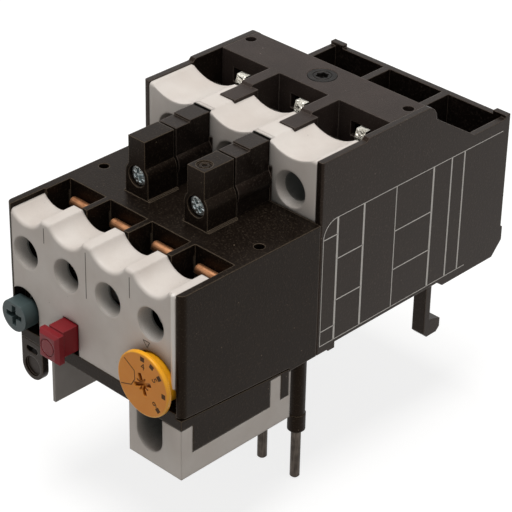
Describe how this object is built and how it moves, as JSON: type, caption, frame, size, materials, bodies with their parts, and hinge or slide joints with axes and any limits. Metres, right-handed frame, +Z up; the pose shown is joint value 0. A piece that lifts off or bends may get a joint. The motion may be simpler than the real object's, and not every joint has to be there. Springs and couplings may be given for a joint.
{
  "type": "thermal overload protector",
  "caption": "Plug-in thermal overload protector with setting dial, test and reset buttons, screw terminals and power pins.",
  "frame": {"origin": "centre of the middle power pin where it leaves its sleeve", "axes": "+Z up, against the way the pins point; +Y from the dial face to the back; +X to the dial's side"},
  "size_m": [0.045, 0.0925, 0.0722],
  "materials": {
    "black_plastic": "dark grey moulded plastic",
    "light_plastic": "warm light grey moulded plastic",
    "orange_plastic": "orange moulded plastic",
    "red_plastic": "dark red moulded plastic",
    "teal_plastic": "dark green-grey moulded plastic",
    "zinc": "zinc plated steel",
    "black_steel": "blackened steel",
    "copper": "bare copper",
    "pin_metal": "dull tin plated copper",
    "bimetal": "rolled bimetal",
    "resistance_alloy": "oxidised resistance ribbon",
    "mica": "mica sheet",
    "spring_steel": "bright spring wire",
    "contact_metal": "brass with silver rivets",
    "white_plastic": "natural white plastic"
  },
  "bodies": {
    "housing": {"aux_clamp_plates": "zinc", "aux_terminal_screws": "zinc", "base_plate": "black_plastic", "bimetal_brackets": "zinc", "bimetal_strips": "bimetal", "closed_contact_strips": "copper", "front_cover": "light_plastic", "front_housing": "black_plastic", "heater_bridge": "black_plastic", "heater_links": "copper", "heater_ribbons": "resistance_alloy", "knob_spring": "spring_steel", "latch_hooks": "black_plastic", "lower_terminal_block": "light_plastic", "lower_terminal_clamp": "zinc", "lower_terminal_screw": "zinc", "main_housing": "black_plastic", "main_terminal_screws": "zinc", "main_terminal_yokes": "zinc", "mica_sleeves": "mica", "open_contact_strips": "copper", "pin_sleeves": "black_plastic", "pivot_pins": "zinc", "power_pins": "pin_metal", "roof_screw": "black_steel", "screwdriver_guide": "black_plastic", "side_guard": "light_plastic", "terminal_cover": "light_plastic", "terminal_leads": "copper", "test_spring": "spring_steel", "tower_screws": "zinc"},
    "selector": {"selector_sleeve": "white_plastic"},
    "reset": {"reset_knob": "teal_plastic"},
    "test": {"test_button": "red_plastic"},
    "dial": {"current_dial": "orange_plastic", "dial_cam": "orange_plastic"},
    "follower": {"cam_follower": "white_plastic"},
    "slide": {"trip_slide": "white_plastic"},
    "lever": {"trip_lever": "white_plastic", "compensating_strip": "bimetal"},
    "carrier": {"contact_carrier": "white_plastic", "open_bridge": "contact_metal", "closed_bridge": "contact_metal"}
  },
  "joints": [
    {"name": "selector_turn", "type": "hinge", "parent": "housing", "child": "selector", "pos_m": [-0.0259, -0.033, 0.02705], "axis": [0, 1, 0], "range_deg": [0, 60]},
    {"name": "reset_push", "type": "slide", "parent": "selector", "child": "reset", "axis": [0, 1, 0], "range_m": [0, 0.002], "stiffness_N_per_m": 300, "springref_m": -0.001, "deforming": ["knob_spring"]},
    {"name": "test_push", "type": "slide", "parent": "housing", "child": "test", "axis": [0, 1, 0], "range_m": [0, 0.002], "stiffness_N_per_m": 300, "springref_m": -0.001, "deforming": ["test_spring"]},
    {"name": "dial_turn", "type": "hinge", "parent": "housing", "child": "dial", "pos_m": [0.0083, -0.0364, 0.02895], "axis": [0, -1, 0], "range_deg": [0, 180]},
    {"name": "follower_swing", "type": "hinge", "parent": "housing", "child": "follower", "pos_m": [0.0037, -0.0164, 0.02865], "axis": [0, 0, -1], "range_deg": [0, 7.24]},
    {"name": "slide_travel", "type": "slide", "parent": "housing", "child": "slide", "axis": [1, 0, 0], "range_m": [0, 0.0012], "stiffness_N_per_m": 150},
    {"name": "lever_swing", "type": "hinge", "parent": "housing", "child": "lever", "pos_m": [0.0001, -0.0144, 0.02965], "axis": [0, 0, -1], "range_deg": [0, 11.46]},
    {"name": "carrier_travel", "type": "slide", "parent": "housing", "child": "carrier", "axis": [0, 1, 0], "range_m": [0, 0.0012]}
  ],
  "couplings": [
    {"joint": "follower_swing", "follows": "dial_turn", "ratio": 0.0402},
    {"joint": "lever_swing", "follows": "slide_travel", "rad_per_m": 166.6},
    {"joint": "carrier_travel", "follows": "slide_travel", "ratio": 1}
  ]
}
